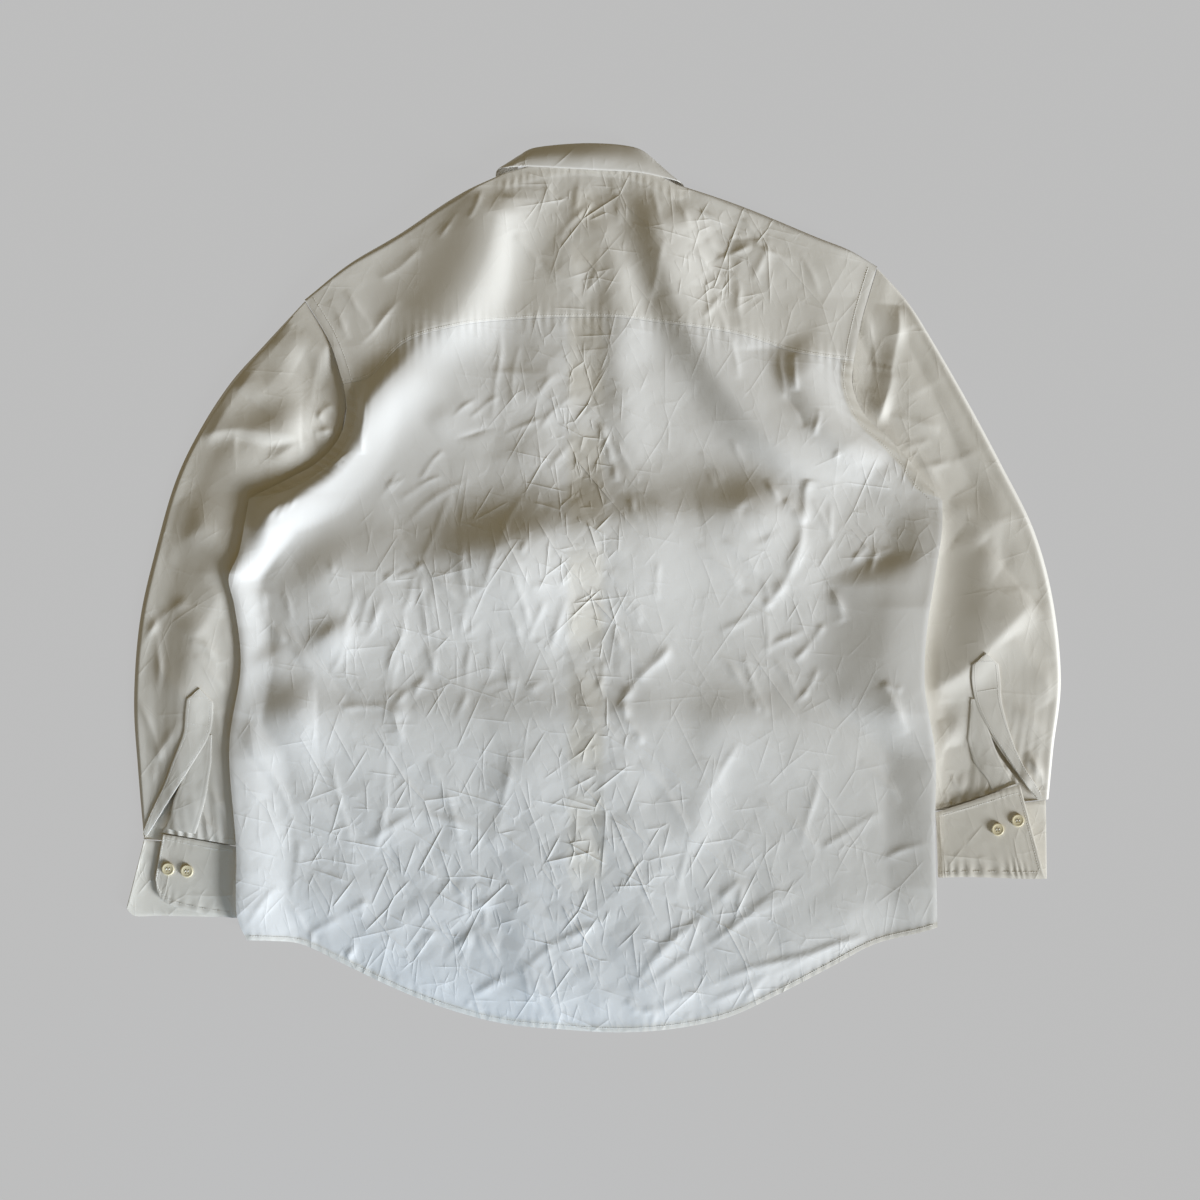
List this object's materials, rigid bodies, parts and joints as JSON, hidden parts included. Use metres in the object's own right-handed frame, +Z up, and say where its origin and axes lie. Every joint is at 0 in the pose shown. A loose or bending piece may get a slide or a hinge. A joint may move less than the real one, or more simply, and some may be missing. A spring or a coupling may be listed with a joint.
{
  "type": "button-up shirt",
  "caption": "Long-sleeved white cotton button-up shirt lying face down, its back crumpled, collar folded down, cuffs undone.",
  "frame": {"origin": "middle of the shirt's outline on the surface it lies on", "axes": "+Z up out of the back panel, +Y from the hem towards the collar, +X towards the wearer's right sleeve"},
  "size_m": [0.9359, 0.8887, 0.0236],
  "materials": {
    "cotton": "matte white poplin, unironed",
    "doubled_cotton": "matte white poplin in two layers, warmer",
    "button": "cream, soft gloss, dished with a raised rim"
  },
  "bodies": {
    "root": {"back": "cotton", "yoke": "cotton", "left_front": "cotton", "right_front": "cotton", "collar_leaf": "cotton", "collar_stand": "cotton", "sleeve_left": "cotton", "cuff_left": "cotton", "sleeve_right": "cotton", "cuff_right": "cotton", "front_band": "doubled_cotton", "tower_placket_left": "doubled_cotton", "under_placket_left": "doubled_cotton", "tower_placket_right": "doubled_cotton", "under_placket_right": "doubled_cotton", "cuff_button_left_1": "button", "cuff_button_left_2": "button", "cuff_button_right_1": "button", "cuff_button_right_2": "button", "front_button_1": "button", "front_button_2": "button", "front_button_3": "button", "front_button_4": "button", "front_button_5": "button", "front_button_6": "button", "front_button_7": "button", "collar_button": "button"}
  },
  "joints": []
}
